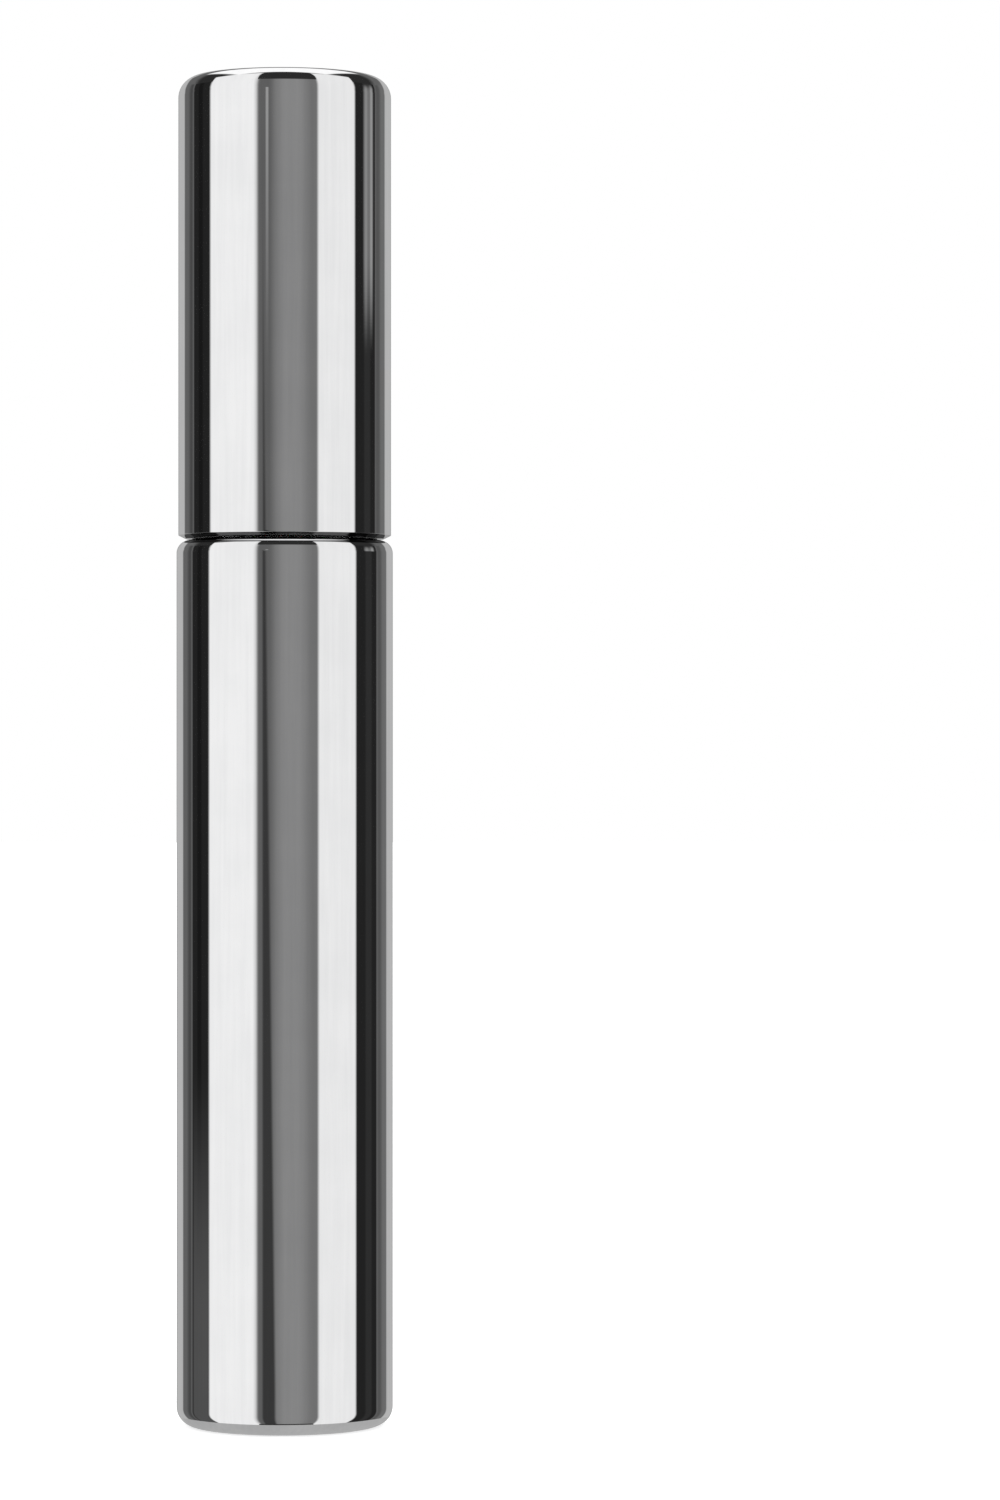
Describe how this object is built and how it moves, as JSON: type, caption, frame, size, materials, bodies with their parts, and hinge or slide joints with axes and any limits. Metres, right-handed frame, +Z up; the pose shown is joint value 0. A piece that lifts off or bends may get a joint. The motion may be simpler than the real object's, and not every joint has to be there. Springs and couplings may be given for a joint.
{
  "type": "mascara tube",
  "caption": "Mirror-bright cylindrical cosmetic tube standing on its base, with a screw-off cap that carries a black wand and a twisted-wire brush inside.",
  "frame": {"origin": "centre of the base ring, on the surface that the closed tube stands on", "axes": "+Z up along the tube's axis, from the base to the cap; the shape is round, so +X and +Y are any two directions across it"},
  "size_m": [0.0184, 0.0184, 0.1141],
  "materials": {
    "mirror_metal": "polished to a mirror",
    "label": "matt film",
    "steel": "turned, zinc plated",
    "clear_plastic": "clear, glossy",
    "soft_plastic": "milky, satin",
    "foam": "fine foam",
    "rubber": "satin",
    "black_plastic": "high gloss",
    "wire": "drawn stainless wire",
    "bristle": "translucent nylon fibre"
  },
  "bodies": {
    "bottle": {"bottle_shell": "mirror_metal", "base_label": "label", "base_weight": "steel", "inner_bottle": "clear_plastic", "shoulder_collar": "mirror_metal", "wiper": "soft_plastic"},
    "neck_seal": {"cap_seal_washer": "foam"},
    "ring": {"wand_o_ring": "rubber"},
    "applicator": {"cap_shell": "mirror_metal", "inner_cap": "black_plastic", "cap_weight": "steel", "wand_rod": "black_plastic", "brush_wire": "wire", "bristles": "bristle"}
  },
  "joints": [
    {"name": "applicator_pull", "type": "slide", "parent": "bottle", "child": "neck_seal", "axis": [0, 0, 1], "range_m": [0, 0.085], "deforming": ["wiper", "bristles"]},
    {"name": "thread_rise", "type": "slide", "parent": "neck_seal", "child": "ring", "axis": [0, 0, 1], "range_m": [0, 0.00376]},
    {"name": "cap_twist", "type": "hinge", "parent": "ring", "child": "applicator", "pos_m": [0, 0, 0.0851], "axis": [0, 0, 1], "range_deg": [0, 450]}
  ],
  "couplings": [
    {"joint": "thread_rise", "follows": "cap_twist", "m_per_rad": 0.00047746}
  ]
}
